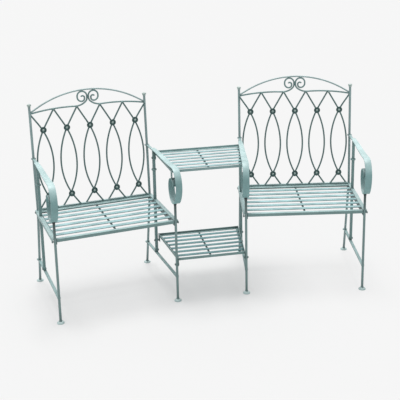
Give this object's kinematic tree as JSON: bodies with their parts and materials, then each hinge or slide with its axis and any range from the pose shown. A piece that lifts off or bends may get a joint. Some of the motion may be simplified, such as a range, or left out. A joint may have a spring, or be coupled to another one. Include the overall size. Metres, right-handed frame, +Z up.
{
  "type": "companion seat bench",
  "caption": "Garden companion bench: slatted steel armchairs with lattice backs and scroll arms, angled together and joined by slatted shelves.",
  "frame": {"origin": "on the ground, under the centre of the bench's bounding box", "axes": "+Z up, +X to the right as seen from the front, and -Y to the front, where the two sitters face. The right-hand chair is a mirror image of the left-hand one across the plane X = 0"},
  "size_m": [1.68, 0.6673, 0.996],
  "materials": {
    "frame_paint": "grey-green paint, lightly brushed on, satin",
    "slat_paint": "grey-green paint, worn paler on the tops, satin",
    "arm_paint": "grey-green paint, rubbed paler on the tops, satin",
    "pale_paint": "pale grey-green paint, satin",
    "sheltered_paint": "grey-green paint, unworn under the slats, dull",
    "rosette_paint": "grey-green paint, dark in the hollows, satin",
    "lattice_paint": "grey-green paint, satin",
    "arch_paint": "grey-green paint, worn paler, satin",
    "foot_paint": "pale grey-green paint, satin",
    "dark_fittings": "dark paint, dull",
    "bolt_steel": "painted over with the frame, satin"
  },
  "bodies": {
    "root": {"arm_links": "frame_paint", "collars": "frame_paint", "feet": "foot_paint", "finials": "pale_paint", "left_back_arch": "arch_paint", "left_back_rail": "frame_paint", "left_inner_arm": "arm_paint", "left_inner_back_post": "frame_paint", "left_inner_front_leg": "frame_paint", "left_inner_upright": "frame_paint", "left_lattice_back_rods": "lattice_paint", "left_lattice_front_rods": "lattice_paint", "left_outer_arm": "arm_paint", "left_outer_back_post": "frame_paint", "left_outer_front_leg": "frame_paint", "left_outer_upright": "frame_paint", "left_scroll_rails": "frame_paint", "left_seat_angles": "frame_paint", "left_seat_centre_bar": "sheltered_paint", "left_seat_cross_rails": "frame_paint", "left_seat_side_rails": "frame_paint", "left_seat_slats": "slat_paint", "left_stretchers": "frame_paint", "leg_nuts": "dark_fittings", "lower_shelf_centre_bar": "sheltered_paint", "lower_shelf_cross_rails": "frame_paint", "lower_shelf_side_rails": "frame_paint", "lower_shelf_slats": "slat_paint", "nuts": "bolt_steel", "right_back_arch": "arch_paint", "right_back_rail": "frame_paint", "right_inner_arm": "arm_paint", "right_inner_back_post": "frame_paint", "right_inner_front_leg": "frame_paint", "right_inner_upright": "frame_paint", "right_lattice_back_rods": "lattice_paint", "right_lattice_front_rods": "lattice_paint", "right_outer_arm": "arm_paint", "right_outer_back_post": "frame_paint", "right_outer_front_leg": "frame_paint", "right_outer_upright": "frame_paint", "right_scroll_rails": "frame_paint", "right_seat_angles": "frame_paint", "right_seat_centre_bar": "sheltered_paint", "right_seat_cross_rails": "frame_paint", "right_seat_side_rails": "frame_paint", "right_seat_slats": "slat_paint", "right_stretchers": "frame_paint", "rosette_rivets": "pale_paint", "rosettes": "rosette_paint", "seat_bolts": "bolt_steel", "shelf_bolts": "bolt_steel", "shelf_spacers": "bolt_steel", "upper_shelf_centre_bar": "sheltered_paint", "upper_shelf_cross_rails": "frame_paint", "upper_shelf_side_rails": "frame_paint", "upper_shelf_slats": "slat_paint", "upright_bolts": "bolt_steel"}
  },
  "joints": []
}
